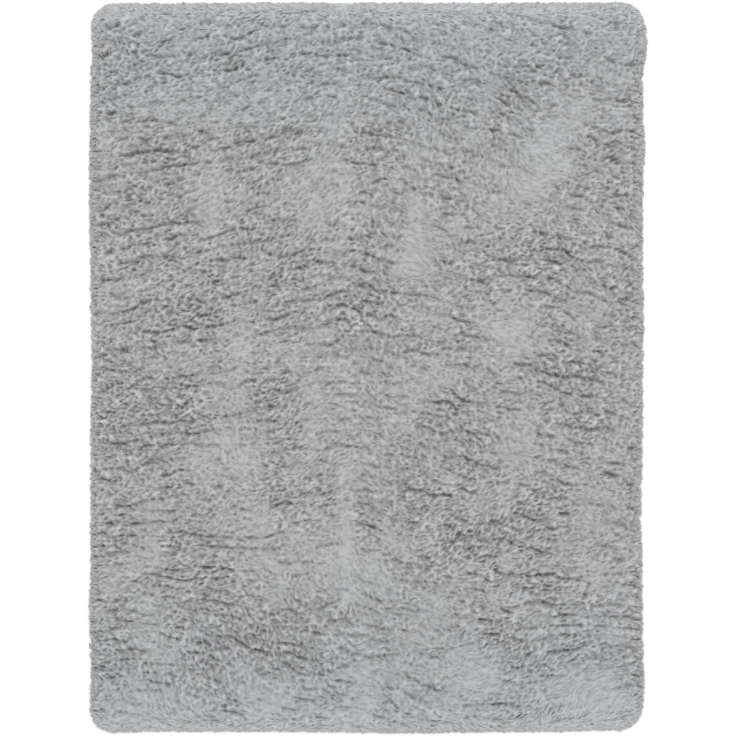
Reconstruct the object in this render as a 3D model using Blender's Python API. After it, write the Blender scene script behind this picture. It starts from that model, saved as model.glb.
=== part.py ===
"""Shag rug, lying flat: one tufted cloth whose pile rolls over the cut edge into loose locks.

Metres, +Z up. X runs across the rug and Y along it. The origin is on the floor, under its middle.
"""

import math
import random
from collections import namedtuple

import bmesh
import bpy
from mathutils import Vector

# The cloth as cut, before the pile leans past its edge
CLOTH_WIDTH = 1.200
CLOTH_LENGTH = 1.600
CORNER_RADIUS = 0.035

# The pile that is rooted in it
PILE_HEIGHT = 0.036  # to the middle of its lumps
LOCK_REACH = 0.020  # how far the longest rim locks lie past the cloth's edge
LOCK_PITCH = 0.027  # from one rim lock to the next, and the size of the top's facets

# The pile is combed outwards and down the rug from a spine near its middle
SPINE_X = -0.050
SPINE_WIDTH = 0.060  # where the two ways of combing blend
COMB_FALL = 0.40  # down the rug for each step outwards

# Its lumps are low waves, each stated by its length along the comb lines and across them
Wave = namedtuple("Wave", "along across phase height")
LUMP_WAVES = (
    Wave(along=0.62, across=0.088, phase=0.0, height=0.0022),
    Wave(along=-0.47, across=0.127, phase=1.3, height=0.0020),
    Wave(along=0.31, across=0.191, phase=2.9, height=0.0018),
    Wave(along=-0.83, across=0.073, phase=4.1, height=0.0015),
    Wave(along=0.23, across=-0.360, phase=5.2, height=0.0012),
)

# The edge isn't quite straight. A swell is a place along one side where it stands out or in.
Swell = namedtuple("Swell", "side at spread out")
SIDES = {"right": (1, 0), "left": (-1, 0), "far": (0, 1), "near": (0, -1)}
EDGE_SWELLS = (
    Swell(side="right", at=0.722, spread=0.045, out=0.010),
    Swell(side="right", at=0.500, spread=0.055, out=0.005),
    Swell(side="right", at=0.120, spread=0.050, out=0.002),
    Swell(side="right", at=-0.330, spread=0.110, out=-0.004),
    Swell(side="right", at=-0.710, spread=0.045, out=0.003),
    Swell(side="left", at=0.720, spread=0.045, out=-0.004),
    Swell(side="left", at=0.400, spread=0.120, out=0.003),
    Swell(side="left", at=0.010, spread=0.070, out=-0.004),
    Swell(side="left", at=-0.535, spread=0.060, out=0.003),
    Swell(side="near", at=0.080, spread=0.150, out=0.003),
    Swell(side="near", at=0.545, spread=0.070, out=-0.003),
    Swell(side="far", at=-0.480, spread=0.070, out=-0.002),
    Swell(side="right", at=0.800, spread=0.050, out=0.0035),
    Swell(side="far", at=0.600, spread=0.050, out=0.0035),
    Swell(side="left", at=-0.800, spread=0.050, out=0.0035),
    Swell(side="near", at=-0.600, spread=0.050, out=0.0035),
)

# The rolled edge from the floor up: past is the way out beyond the cloth's edge
Row = namedtuple("Row", "past height")
RIM_ROWS = (
    Row(past=0.000, height=0.000),
    Row(past=0.007, height=0.003),
    Row(past=0.009, height=0.018),
    Row(past=0.002, height=0.028),
    Row(past=-0.017, height=0.034),
)
LOCK_ROW = 1  # the locks grow from the band between this row and the next

# A rim lock: a foot set in from its facet, a shoulder, and a tip that lies on the floor
LOCK_FOOT_INSET = 0.002
SHOULDER_WAY = 0.55  # of the lock's reach
SHOULDER_SIZE = 0.72  # of its foot
SHOULDER_DROP = 0.004
TIP_HEIGHT = 0.0025
LEAST_REACH = 0.72  # of the longest
MOST_SWEEP = 0.008  # how far a tip is combed sideways
LOCK_SEED = 11

PILE_GREY = (0.36, 0.36, 0.365, 1.0)
PILE_ROUGHNESS = 0.95


def clear_scene():
    for old in list(bpy.data.objects):
        bpy.data.objects.remove(old)


def lump(x, y):
    """How far the top stands above or below its middle height at a place.

    The waves run across comb lines that fall away on both sides of the spine.
    """
    comb_line = y + COMB_FALL * math.hypot(x - SPINE_X, SPINE_WIDTH)
    turns = [(w, x / w.along + comb_line / w.across) for w in LUMP_WAVES]
    return sum(w.height * math.sin(math.tau * turn + w.phase) for w, turn in turns)


def swell_out(place, out):
    """How far the edge stands out or in at a place on it, where it faces the way out."""
    total = 0
    for swell in EDGE_SWELLS:
        side = Vector((*SIDES[swell.side], 0))
        along = place.y if side.x else place.x
        fade = math.exp(-(((along - swell.at) / swell.spread) ** 2))
        total += swell.out * fade * max(0, out.dot(side))
    return total


def core_size():
    """Half the width and length of the rectangle that the rounded corners are struck from."""
    return CLOTH_WIDTH / 2 - CORNER_RADIUS, CLOTH_LENGTH / 2 - CORNER_RADIUS


def add_top_grid(bm):
    """The top over the core rectangle. Returns its points by column and row."""
    half_x, half_y = core_size()
    columns = round(2 * half_x / LOCK_PITCH)
    rows = round(2 * half_y / LOCK_PITCH)
    grid = []
    for c in range(columns + 1):
        x = -half_x + 2 * half_x * c / columns
        ys = [-half_y + 2 * half_y * r / rows for r in range(rows + 1)]
        grid.append([bm.verts.new((x, y, PILE_HEIGHT + lump(x, y))) for y in ys])
    for left, right in zip(grid, grid[1:]):
        for r in range(rows):
            bm.faces.new((left[r], right[r], right[r + 1], left[r + 1]))
    return grid


def rim_stations(grid):
    """Anticlockwise round the core, each point of it with the ways out from there.

    A point on a side has one way out, square to the side. A corner has a fan of them.
    """
    sides = (
        [column[0] for column in grid],
        list(grid[-1]),
        [column[-1] for column in reversed(grid)],
        list(reversed(grid[0])),
    )
    arc_steps = round(math.pi / 2 * CORNER_RADIUS / LOCK_PITCH) + 1
    stations = []
    for number, side in enumerate(sides):
        square = math.radians(90 * (number - 1))
        for point in side[1:-1]:
            stations.append((point, square))
        for step in range(arc_steps + 1):
            stations.append((side[-1], square + math.pi / 2 * step / arc_steps))
    return [(point, Vector((math.cos(a), math.sin(a), 0))) for point, a in stations]


def add_rim(bm, stations):
    """The rolled edge: one point for each row at each station, joined into bands.

    Returns the faces of the band that the locks grow from, and the lowest row's points.
    """
    points = []
    for core, out in stations:
        edge = Vector((core.co.x, core.co.y, 0)) + out * CORNER_RADIUS
        shift = swell_out(edge, out)
        rise = 1 + lump(edge.x, edge.y) / PILE_HEIGHT
        column = []
        for row in RIM_ROWS:
            place = edge + out * (row.past + shift)
            place.z = row.height * rise
            column.append(bm.verts.new(place))
        points.append(column)
    band = []
    for i, (here, (core, _)) in enumerate(zip(points, stations)):
        after, (next_core, _) = points[(i + 1) % len(points)], stations[(i + 1) % len(points)]
        for row in range(len(RIM_ROWS) - 1):
            face = bm.faces.new((here[row], after[row], after[row + 1], here[row + 1]))
            if row == LOCK_ROW:
                band.append(face)
        inner = (core,) if core is next_core else (next_core, core)
        bm.faces.new((here[-1], after[-1], *inner))
    return band, [column[0] for column in points]


def add_underside(bm, lowest):
    """The flat underside of the cloth, as a fan about its middle."""
    middle = bm.verts.new((0, 0, 0))
    for here, after in zip(lowest, lowest[1:] + lowest[:1]):
        bm.faces.new((after, here, middle))


def grow_locks(bm, band):
    """A four-sided lock from each facet of the band, falling outwards to the floor."""
    combed = random.Random(LOCK_SEED)
    band_past = (RIM_ROWS[LOCK_ROW].past + RIM_ROWS[LOCK_ROW + 1].past) / 2
    bmesh.ops.inset_individual(bm, faces=band, thickness=LOCK_FOOT_INSET)
    shoulders = bmesh.ops.extrude_discrete_faces(bm, faces=band)["faces"]
    tips = []
    for face in shoulders:
        out = Vector((face.normal.x, face.normal.y, 0)).normalized()
        along = Vector((-out.y, out.x, 0))
        foot = face.calc_center_median()
        reach = LOCK_REACH * combed.uniform(LEAST_REACH, 1) - band_past
        sweep = combed.uniform(-MOST_SWEEP, MOST_SWEEP)
        shoulder = foot + out * reach * SHOULDER_WAY + along * sweep * SHOULDER_WAY
        shoulder.z -= SHOULDER_DROP
        for corner in face.verts:
            corner.co = shoulder + (corner.co - foot) * SHOULDER_SIZE
        tip = foot + out * reach + along * sweep
        tip.z = TIP_HEIGHT
        tips.append(tip)
    ends = bmesh.ops.poke(bm, faces=shoulders)["verts"]
    for end, tip in zip(ends, tips):
        end.co = tip


def fabric(name, colour, roughness):
    material = bpy.data.materials.new(name)
    material.use_nodes = True
    shader = material.node_tree.nodes["Principled BSDF"]
    shader.inputs["Base Color"].default_value = colour
    shader.inputs["Roughness"].default_value = roughness
    shader.inputs["Metallic"].default_value = 0.0
    return material


def make_rug():
    bm = bmesh.new()
    grid = add_top_grid(bm)
    band, lowest = add_rim(bm, rim_stations(grid))
    add_underside(bm, lowest)
    bm.normal_update()
    grow_locks(bm, band)
    bmesh.ops.recalc_face_normals(bm, faces=bm.faces)
    mesh = bpy.data.meshes.new("rug")
    bm.to_mesh(mesh)
    bm.free()
    mesh.shade_smooth()
    mesh.materials.append(fabric("pile", PILE_GREY, PILE_ROUGHNESS))
    rug = bpy.data.objects.new("rug", mesh)
    bpy.context.scene.collection.objects.link(rug)
    return rug


clear_scene()
make_rug()
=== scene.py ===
# %% [markdown]
# # A shag rug, from fleece to locks
#
# A shag rug is a cloth with long soft yarn tufted through it. Seen from above it is tens of
# thousands of locks that lean, cling together in tufts, and leave dark gaps between the tufts. All
# of it as single hairs would be too heavy for anything but one picture, and a bump on a flat slab
# would look like a flat slab. This lesson goes between the two. The dense pile is one finely
# moulded surface, the fleece, and single locks of real geometry lie on it and hang over its edge.
#
# The rug's plain solid is loaded first, as a fixed frame. Everything below is measured from it, in
# metres, with +Z up.

# %% Load the frame
from collections import namedtuple

import bpy
import numpy as np
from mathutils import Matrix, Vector


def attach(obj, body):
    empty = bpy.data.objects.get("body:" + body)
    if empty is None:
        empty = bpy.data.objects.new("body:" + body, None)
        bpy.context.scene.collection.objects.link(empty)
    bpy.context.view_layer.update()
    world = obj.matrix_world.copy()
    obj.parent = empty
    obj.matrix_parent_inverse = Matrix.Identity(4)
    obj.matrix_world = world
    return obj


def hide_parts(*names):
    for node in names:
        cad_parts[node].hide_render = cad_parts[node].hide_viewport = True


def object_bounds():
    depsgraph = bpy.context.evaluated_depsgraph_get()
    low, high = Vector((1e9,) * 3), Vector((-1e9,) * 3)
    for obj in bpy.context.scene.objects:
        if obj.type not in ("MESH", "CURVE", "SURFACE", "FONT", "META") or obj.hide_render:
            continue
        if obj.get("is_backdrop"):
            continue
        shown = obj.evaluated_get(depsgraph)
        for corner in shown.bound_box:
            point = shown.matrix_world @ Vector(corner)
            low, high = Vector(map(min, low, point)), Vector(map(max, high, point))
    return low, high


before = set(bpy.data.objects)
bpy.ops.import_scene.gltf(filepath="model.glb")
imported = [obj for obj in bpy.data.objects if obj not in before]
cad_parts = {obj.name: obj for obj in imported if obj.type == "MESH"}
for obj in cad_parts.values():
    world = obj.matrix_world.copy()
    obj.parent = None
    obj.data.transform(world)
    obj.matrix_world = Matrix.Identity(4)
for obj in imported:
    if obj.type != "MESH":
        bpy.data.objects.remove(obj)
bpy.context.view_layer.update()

# %% [markdown]
# ## The cloth's outline
#
# The cloth is a rectangle with soft round corners. One helper says how far a point lies beyond the
# cloth's edge, and which way is out. From it comes the border, a number that grows from 0 to 1
# where the pile starts to roll over. Another helper bends a square grid into the rounded outline,
# so that a plain grid of numbers covers the cloth right into its corners, with no ragged edge.

# %% Cloth outline
CLOTH = np.array([1.200, 1.600])
CORNER_RADIUS = 0.035
CORE = CLOTH / 2 - CORNER_RADIUS
BORDER_START = -0.008  # past the cloth's edge, where the rolled pile begins
BORDER_END = 0.014
TINY = 1e-9  # stands in for a length of 0 where something is divided by it


def edge_of(xy):
    """How far points lie beyond the cloth's edge, under 0 inside it, and the way out from there.

    It is the distance to the core rectangle, less the corner's radius. Over the core itself it is
    the distance to the core's nearest side.
    """
    past_core = np.abs(xy) - CORE
    outside = np.maximum(past_core, 0)
    reach = np.linalg.norm(outside, axis=-1)
    over_core = np.minimum(past_core.max(axis=-1), 0)
    nearest = past_core == past_core.max(axis=-1, keepdims=True)
    way = np.where(reach[..., None] > 0, outside, nearest)
    way = way / np.linalg.norm(way, axis=-1, keepdims=True)
    return reach + over_core - CORNER_RADIUS, way * np.where(xy < 0, -1, 1)


def ease(value):
    """A soft step from 0 to 1: three times the square less twice the cube."""
    value = np.clip(value, 0, 1)
    return value * value * (3 - 2 * value)


def border(xy):
    """From 0 over most of the rug to 1 where the pile rolls over its edge, eased."""
    past, _ = edge_of(xy)
    return ease((past - BORDER_START) / (BORDER_END - BORDER_START))


def round_corners(xy):
    """Bends a rectangle onto the rounded outline.

    Past the core, a square ring about the corner becomes the quarter circle that it would touch.
    """
    past_core = np.maximum(np.abs(xy) - CORE, 0)
    length = np.linalg.norm(past_core, axis=-1, keepdims=True)
    ring = past_core.max(axis=-1, keepdims=True)
    bent = past_core * ring / np.maximum(length, TINY)
    return np.sign(xy) * (np.minimum(np.abs(xy), CORE) + bent)


print("cloth", CLOTH, "m, core", CORE * 2, "m")

# %% [markdown]
# A real rug's edge isn't ruled straight. In the photograph the right edge bulges near the far
# corner and draws in lower down, by a few millimetres. A short table of swells, the same as in the
# solid, moves the outer part of the rug out or in. The last four of them sharpen two of its corners
# a little. The middle stays where it is.

# %% Edge swells
Swell = namedtuple("Swell", "side at spread out")
SIDES = {"right": (1, 0), "left": (-1, 0), "far": (0, 1), "near": (0, -1)}
EDGE_SWELLS = (
    Swell(side="right", at=0.722, spread=0.045, out=0.010),
    Swell(side="right", at=0.500, spread=0.055, out=0.005),
    Swell(side="right", at=0.120, spread=0.050, out=0.002),
    Swell(side="right", at=-0.330, spread=0.110, out=-0.004),
    Swell(side="right", at=-0.710, spread=0.045, out=0.003),
    Swell(side="left", at=0.720, spread=0.045, out=-0.004),
    Swell(side="left", at=0.400, spread=0.120, out=0.003),
    Swell(side="left", at=0.010, spread=0.070, out=-0.004),
    Swell(side="left", at=-0.535, spread=0.060, out=0.003),
    Swell(side="near", at=0.080, spread=0.150, out=0.003),
    Swell(side="near", at=0.545, spread=0.070, out=-0.003),
    Swell(side="far", at=-0.480, spread=0.070, out=-0.002),
    Swell(side="right", at=0.800, spread=0.050, out=0.0035),
    Swell(side="far", at=0.600, spread=0.050, out=0.0035),
    Swell(side="left", at=-0.800, spread=0.050, out=0.0035),
    Swell(side="near", at=-0.600, spread=0.050, out=0.0035),
)
SWELL_DEPTH = 0.12  # how far in from the edge a swell is still felt


def swell_edges(xy):
    """Points with the swells added. Each is a bell along its side, eased to nothing inwards."""
    moved = np.array(xy, dtype=float)
    for swell in EDGE_SWELLS:
        side = np.array(SIDES[swell.side])
        across, along = (0, 1) if side[0] else (1, 0)
        inwards = CLOTH[across] / 2 - xy[..., across] * side[across]
        bell = np.exp(-(((xy[..., along] - swell.at) / swell.spread) ** 2))
        shift = swell.out * bell * ease(1 - inwards / SWELL_DEPTH)
        moved[..., across] += shift * side[across]
    return moved


print(len(EDGE_SWELLS), "swells, up to", max(s.out for s in EDGE_SWELLS) * 1000, "mm")

# %% [markdown]
# ## Rolling over the edge
#
# At the edge the pile has nothing to lean on, so it rolls over and hangs to the floor. One rule
# does this for every part of the pile: what lies past a line just inside the edge is wrapped round
# a quarter circle about that line. High points travel on a wide circle and low ones on a tight
# circle, as the pages of a book do when it is bent.

# %% Roll over the edge
PILE_HEIGHT = 0.036  # to the middle of its lumps
ROLL_START = -0.015  # the line that the pile rolls about, inside the cloth's edge
ROLL_RADIUS = 0.037
MOST_TURN = np.radians(84)
SPILL = 0.12  # how much of what is left over still creeps outwards along the floor
FLOOR_CLEARANCE = 0.0016


def roll_over(points):
    """Points past the roll's line carried round it, by an angle of their way past it."""
    past, way = edge_of(points[..., :2])
    over = np.maximum(past - ROLL_START, 0)
    turn = np.minimum(over / ROLL_RADIUS, MOST_TURN)
    spill = SPILL * (over - turn * ROLL_RADIUS)
    height = points[..., 2]
    reach = height * np.sin(turn) + spill
    rolled = np.array(points)
    rolled[..., :2] += way * (np.where(over > 0, reach - over, 0))[..., None]
    rolled[..., 2] = np.maximum(height * np.cos(turn), FLOOR_CLEARANCE)
    return rolled


print("the pile rolls out to", round(ROLL_START + PILE_HEIGHT, 4), "m past the cloth")

# %% [markdown]
# ## Which way the pile is combed
#
# In the photograph the pile parts along a spine left of the middle. From there it is combed
# outwards and down the rug on both sides, at a slant near the spine and almost level near the
# edges. In places it sways off that course, most of all low down on the left. Where it rolls over
# the rug's edge it turns and points straight out. A comb field gives each place its direction, and
# soft noise unsettles it, since nobody combs a rug evenly.
#
# The noise is made here rather than with a texture, because the shapes need it as numbers: random
# values on a coarse lattice, eased from one to the next. Most uses add up a few layers of it, each
# with its own size, seed and share.

# %% Soft noise
LATTICE = 512
Layer = namedtuple("Layer", "size seed share")


def soft_noise(xy, size, seed):
    """Smooth noise from -1 to 1 with bumps of about a size: a random lattice, blended with ease.

    The size is one number, or a pair for bumps that are longer one way than the other.
    """
    values = np.random.default_rng(seed).uniform(-1, 1, (LATTICE, LATTICE))
    spot = np.asarray(xy) / size + LATTICE / 2
    low = np.floor(spot).astype(int)
    blend = ease(spot - low)
    i, j = low[..., 0] % LATTICE, low[..., 1] % LATTICE
    i2, j2 = (i + 1) % LATTICE, (j + 1) % LATTICE
    near = values[i, j] * (1 - blend[..., 0]) + values[i2, j] * blend[..., 0]
    far = values[i, j2] * (1 - blend[..., 0]) + values[i2, j2] * blend[..., 0]
    return near * (1 - blend[..., 1]) + far * blend[..., 1]


def layered_noise(xy, layers):
    """The sum of soft noise over some layers, each times its share."""
    return sum(layer.share * soft_noise(xy, layer.size, layer.seed) for layer in layers)


print("noise at the middle of the rug:", soft_noise(np.zeros(2), 0.1, 1).round(3))

# %% Comb field
SPINE_X = -0.050
SPINE_WIDTH = 0.060
STEEP_FALL = np.radians(24)  # below level, at the spine
LEVEL_FALL = np.radians(4)  # and far from it
STEEP_WIDTH = 0.30
Sway = namedtuple("Sway", "x y spread_x spread_y turn")
SWAYS = (  # each turns the comb's line by some degrees, and a line that rises to the right is over 0
    Sway(x=-0.22, y=-0.62, spread_x=0.20, spread_y=0.14, turn=-50),
    Sway(x=-0.46, y=-0.69, spread_x=0.14, spread_y=0.12, turn=-60),
    Sway(x=-0.13, y=-0.47, spread_x=0.12, spread_y=0.07, turn=-60),
    Sway(x=-0.17, y=-0.70, spread_x=0.12, spread_y=0.10, turn=-25),
    Sway(x=-0.45, y=-0.78, spread_x=0.10, spread_y=0.06, turn=-40),
    Sway(x=0.24, y=-0.36, spread_x=0.14, spread_y=0.11, turn=62),
    Sway(x=0.34, y=-0.64, spread_x=0.14, spread_y=0.10, turn=55),
    Sway(x=0.42, y=-0.77, spread_x=0.14, spread_y=0.07, turn=70),
    Sway(x=0.14, y=-0.68, spread_x=0.08, spread_y=0.07, turn=-20),
    Sway(x=0.25, y=0.45, spread_x=0.17, spread_y=0.13, turn=-20),
    Sway(x=0.30, y=0.44, spread_x=0.05, spread_y=0.06, turn=-20),
    Sway(x=0.20, y=0.58, spread_x=0.12, spread_y=0.10, turn=-12),
    Sway(x=-0.17, y=0.36, spread_x=0.12, spread_y=0.09, turn=18),
    Sway(x=-0.06, y=0.34, spread_x=0.05, spread_y=0.07, turn=45),
    Sway(x=0.03, y=0.27, spread_x=0.04, spread_y=0.04, turn=-30),
    Sway(x=0.02, y=0.62, spread_x=0.07, spread_y=0.18, turn=18),
    Sway(x=-0.18, y=0.56, spread_x=0.06, spread_y=0.05, turn=-24),
    Sway(x=-0.07, y=0.57, spread_x=0.05, spread_y=0.05, turn=16),
    Sway(x=0.02, y=0.05, spread_x=0.08, spread_y=0.10, turn=-18),
    Sway(x=0.15, y=0.03, spread_x=0.08, spread_y=0.10, turn=22),
    Sway(x=-0.28, y=-0.14, spread_x=0.06, spread_y=0.09, turn=-72),
    Sway(x=-0.08, y=-0.19, spread_x=0.05, spread_y=0.06, turn=42),
    Sway(x=-0.48, y=-0.16, spread_x=0.12, spread_y=0.14, turn=-11),
    Sway(x=-0.40, y=0.47, spread_x=0.14, spread_y=0.10, turn=9),
    Sway(x=0.15, y=0.18, spread_x=0.15, spread_y=0.05, turn=10),
    Sway(x=0.60, y=0.25, spread_x=0.08, spread_y=0.40, turn=-10),
    Sway(x=0.00, y=0.20, spread_x=0.90, spread_y=1.00, turn=-9),
)
UNEVEN_COMBING = np.radians(19)
COMB_NOISE = (
    Layer(size=0.080, seed=61, share=1.0),
    Layer(size=0.036, seed=62, share=1.0),
    Layer(size=0.018, seed=63, share=0.5),
)
EDGE_PULL = 1.3  # how much more than its combing the edge decides the way of the rolled pile


def unit(vectors):
    """Vectors over their own lengths."""
    return vectors / np.maximum(np.linalg.norm(vectors, axis=-1, keepdims=True), TINY)


def turned(direction, angle):
    """Directions turned by angles, the usual rotation by sine and cosine."""
    x, y = direction[..., 0], direction[..., 1]
    cos, sin = np.cos(angle), np.sin(angle)
    return np.stack([x * cos - y * sin, x * sin + y * cos], axis=-1)


def comb_way(xy):
    """The way the pile is combed, outwards from the spine.

    The angle of the comb's line falls away from the spine on both sides, by a hump that is highest
    at the spine. A bell for each sway and noise of three sizes are added. The side is 1 well to the
    right of the spine and -1 well to the left. At the border the way blends into the way out.
    """
    x, y = xy[..., 0], xy[..., 1]
    side = np.tanh((x - SPINE_X) / SPINE_WIDTH)
    hump = 1 - np.tanh((x - SPINE_X) / STEEP_WIDTH) ** 2
    angle = -side * (LEVEL_FALL + (STEEP_FALL - LEVEL_FALL) * hump)
    for sway in SWAYS:
        away = ((x - sway.x) / sway.spread_x) ** 2 + ((y - sway.y) / sway.spread_y) ** 2
        angle = angle + np.radians(sway.turn) * np.exp(-away)
    angle = angle + UNEVEN_COMBING * layered_noise(xy, COMB_NOISE)
    outwards = np.where(x < SPINE_X, -1, 1)
    combed = np.stack([np.cos(angle), np.sin(angle)], axis=-1) * outwards[..., None]
    rim = border(xy)[..., None]
    return unit(combed * (1 - rim) + EDGE_PULL * edge_of(xy)[1] * rim)


print("combed at the middle of the right half:", comb_way(np.array([0.3, 0.2])).round(2))

# %% [markdown]
# ## Brushed patches
#
# Here and there a foot or a hand has brushed the pile flat. There the locks lie close together with
# no furrows, and the patch looks smooth and a little lighter. Elsewhere the tufts stand apart and
# the furrows between them are deep. Both are rows of one table: where the patch is, how far it
# spreads, and how smooth it is, with less than nothing for a rough one.
#
# The pile also lies in order where it rolls over the edge, with nothing to push it about, more so
# at the two short ends and the corners than along the sides.

# %% Patches
Patch = namedtuple("Patch", "x y spread_x spread_y smooth")
PATCHES = (
    Patch(x=0.425, y=0.490, spread_x=0.075, spread_y=0.095, smooth=0.9),
    Patch(x=0.345, y=0.395, spread_x=0.060, spread_y=0.060, smooth=0.6),
    Patch(x=0.112, y=0.265, spread_x=0.030, spread_y=0.110, smooth=1.0),
    Patch(x=0.325, y=0.070, spread_x=0.055, spread_y=0.050, smooth=1.9),
    Patch(x=0.336, y=-0.186, spread_x=0.055, spread_y=0.060, smooth=0.7),
    Patch(x=0.112, y=-0.050, spread_x=0.050, spread_y=0.060, smooth=0.3),
    Patch(x=-0.340, y=0.385, spread_x=0.038, spread_y=0.100, smooth=0.9),
    Patch(x=-0.225, y=0.620, spread_x=0.060, spread_y=0.050, smooth=0.4),
    Patch(x=-0.075, y=0.480, spread_x=0.060, spread_y=0.110, smooth=0.8),
    Patch(x=-0.095, y=0.340, spread_x=0.080, spread_y=0.060, smooth=0.35),
    Patch(x=-0.110, y=-0.040, spread_x=0.045, spread_y=0.180, smooth=0.6),
    Patch(x=-0.285, y=0.010, spread_x=0.028, spread_y=0.080, smooth=0.7),
    Patch(x=-0.320, y=-0.200, spread_x=0.060, spread_y=0.060, smooth=0.5),
    Patch(x=-0.245, y=-0.400, spread_x=0.065, spread_y=0.100, smooth=0.9),
    Patch(x=-0.060, y=-0.445, spread_x=0.105, spread_y=0.075, smooth=1.2),
    Patch(x=-0.560, y=-0.460, spread_x=0.050, spread_y=0.060, smooth=0.5),
    Patch(x=-0.455, y=-0.610, spread_x=0.065, spread_y=0.060, smooth=0.6),
    Patch(x=-0.225, y=-0.725, spread_x=0.050, spread_y=0.050, smooth=0.8),
    Patch(x=0.000, y=-0.720, spread_x=0.100, spread_y=0.045, smooth=0.5),
    Patch(x=0.175, y=-0.610, spread_x=0.075, spread_y=0.055, smooth=0.8),
    Patch(x=0.265, y=-0.700, spread_x=0.055, spread_y=0.060, smooth=0.8),
    Patch(x=0.455, y=-0.730, spread_x=0.100, spread_y=0.050, smooth=1.4),
    Patch(x=0.560, y=-0.610, spread_x=0.060, spread_y=0.080, smooth=0.7),
    Patch(x=-0.510, y=-0.765, spread_x=0.110, spread_y=0.050, smooth=0.7),
    Patch(x=0.575, y=-0.745, spread_x=0.050, spread_y=0.060, smooth=0.9),
    Patch(x=0.385, y=0.250, spread_x=0.090, spread_y=0.050, smooth=-0.9),
    Patch(x=-0.440, y=0.150, spread_x=0.110, spread_y=0.110, smooth=-0.3),
    Patch(x=-0.500, y=-0.060, spread_x=0.110, spread_y=0.100, smooth=-0.5),
    Patch(x=0.240, y=-0.370, spread_x=0.120, spread_y=0.055, smooth=-0.5),
    Patch(x=0.000, y=0.560, spread_x=0.050, spread_y=0.100, smooth=-0.5),
    Patch(x=-0.449, y=0.490, spread_x=0.060, spread_y=0.050, smooth=-0.3),
    Patch(x=-0.225, y=0.490, spread_x=0.050, spread_y=0.050, smooth=-0.6),
    Patch(x=-0.360, y=-0.660, spread_x=0.090, spread_y=0.060, smooth=-0.4),
    Patch(x=-0.340, y=0.200, spread_x=0.050, spread_y=0.060, smooth=-0.6),
    Patch(x=0.220, y=0.070, spread_x=0.045, spread_y=0.060, smooth=-0.7),
    Patch(x=-0.225, y=-0.080, spread_x=0.050, spread_y=0.070, smooth=-0.6),
    Patch(x=0.110, y=-0.200, spread_x=0.050, spread_y=0.050, smooth=-0.5),
    Patch(x=0.340, y=0.610, spread_x=0.060, spread_y=0.060, smooth=-0.6),
    Patch(x=0.450, y=0.340, spread_x=0.050, spread_y=0.050, smooth=-0.4),
    Patch(x=-0.570, y=-0.610, spread_x=0.050, spread_y=0.050, smooth=-0.5),
    Patch(x=0.560, y=-0.340, spread_x=0.060, spread_y=0.060, smooth=0.6),
    Patch(x=0.530, y=-0.470, spread_x=0.060, spread_y=0.060, smooth=0.5),
    Patch(x=0.000, y=-0.610, spread_x=0.060, spread_y=0.050, smooth=0.5),
    Patch(x=-0.280, y=0.740, spread_x=0.100, spread_y=0.050, smooth=0.4),
    Patch(x=0.400, y=0.740, spread_x=0.090, spread_y=0.050, smooth=0.3),
    Patch(x=-0.020, y=0.150, spread_x=0.080, spread_y=0.045, smooth=-0.4),
)
UNEVEN_CALM = 0.40
CALM_NOISE = (Layer(size=0.10, seed=31, share=1.0), Layer(size=0.040, seed=34, share=1.0))
RAGGED = 0.015  # how far noise moves a patch's outline, so that it isn't an oval
RAGGED_SIZE = 0.035
RAGGED_SEEDS = (32, 33)  # for x and for y
SIDE_CALM = 0.10  # of the rolled pile at the long sides
END_CALM = 0.80  # and at the short ends
END_REACH = 0.050  # how far in from the short ends their order is felt
END_SHARE = 0.60  # and how much of it is felt there


def near_ends(xy, reach=END_REACH):
    """From 0 over most of the rug to 1 at its two short ends, eased over a reach."""
    return ease(1 - (CLOTH[1] / 2 - np.abs(xy[..., 1])) / reach)


def calmness(xy):
    """How orderly the pile lies, from -1 to 1: soft noise, a bell for each patch, and the border."""
    ragged = np.stack([soft_noise(xy, RAGGED_SIZE, seed) for seed in RAGGED_SEEDS], axis=-1)
    spot = xy + RAGGED * ragged
    total = UNEVEN_CALM * layered_noise(xy, CALM_NOISE)
    for patch in PATCHES:
        x = (spot[..., 0] - patch.x) / patch.spread_x
        y = (spot[..., 1] - patch.y) / patch.spread_y
        total = total + patch.smooth * np.exp(-(x * x) - y * y)
    total = np.clip(total, -1, 1)
    ends = near_ends(xy)
    rolled = SIDE_CALM + (END_CALM - SIDE_CALM) * ends
    return total + (rolled - total) * np.maximum(border(xy), END_SHARE * ends)


print(len(PATCHES), "patches")

# %% [markdown]
# ## The height of the pile
#
# The solid's top swells in long low lumps that lie along the comb lines. The same waves are
# repeated here, so the pile ends where the solid does. They fade towards the edge, so that the
# rolled edge is even.

# %% Lumps
COMB_FALL = 0.40
Wave = namedtuple("Wave", "along across phase height")
LUMP_WAVES = (
    Wave(along=0.62, across=0.088, phase=0.0, height=0.0022),
    Wave(along=-0.47, across=0.127, phase=1.3, height=0.0020),
    Wave(along=0.31, across=0.191, phase=2.9, height=0.0018),
    Wave(along=-0.83, across=0.073, phase=4.1, height=0.0015),
    Wave(along=0.23, across=-0.360, phase=5.2, height=0.0012),
)
SAMPLES = 4000


def lumps(xy):
    """How far the pile stands above or below its middle height: a sine for each wave."""
    comb_line = xy[..., 1] + COMB_FALL * np.hypot(xy[..., 0] - SPINE_X, SPINE_WIDTH)
    height = np.zeros(xy.shape[:-1])
    for wave in LUMP_WAVES:
        turn = xy[..., 0] / wave.along + comb_line / wave.across
        height += wave.height * np.sin(2 * np.pi * turn + wave.phase)
    return height * (1 - border(xy))


def sample_places(seed):
    """Random places all over the core, to measure the pile at."""
    return np.random.default_rng(seed).uniform(-CORE, CORE, (SAMPLES, 2))


highest = lumps(sample_places(1)).max()
print("the pile is up to", round(PILE_HEIGHT + highest, 4), "m high")

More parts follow.
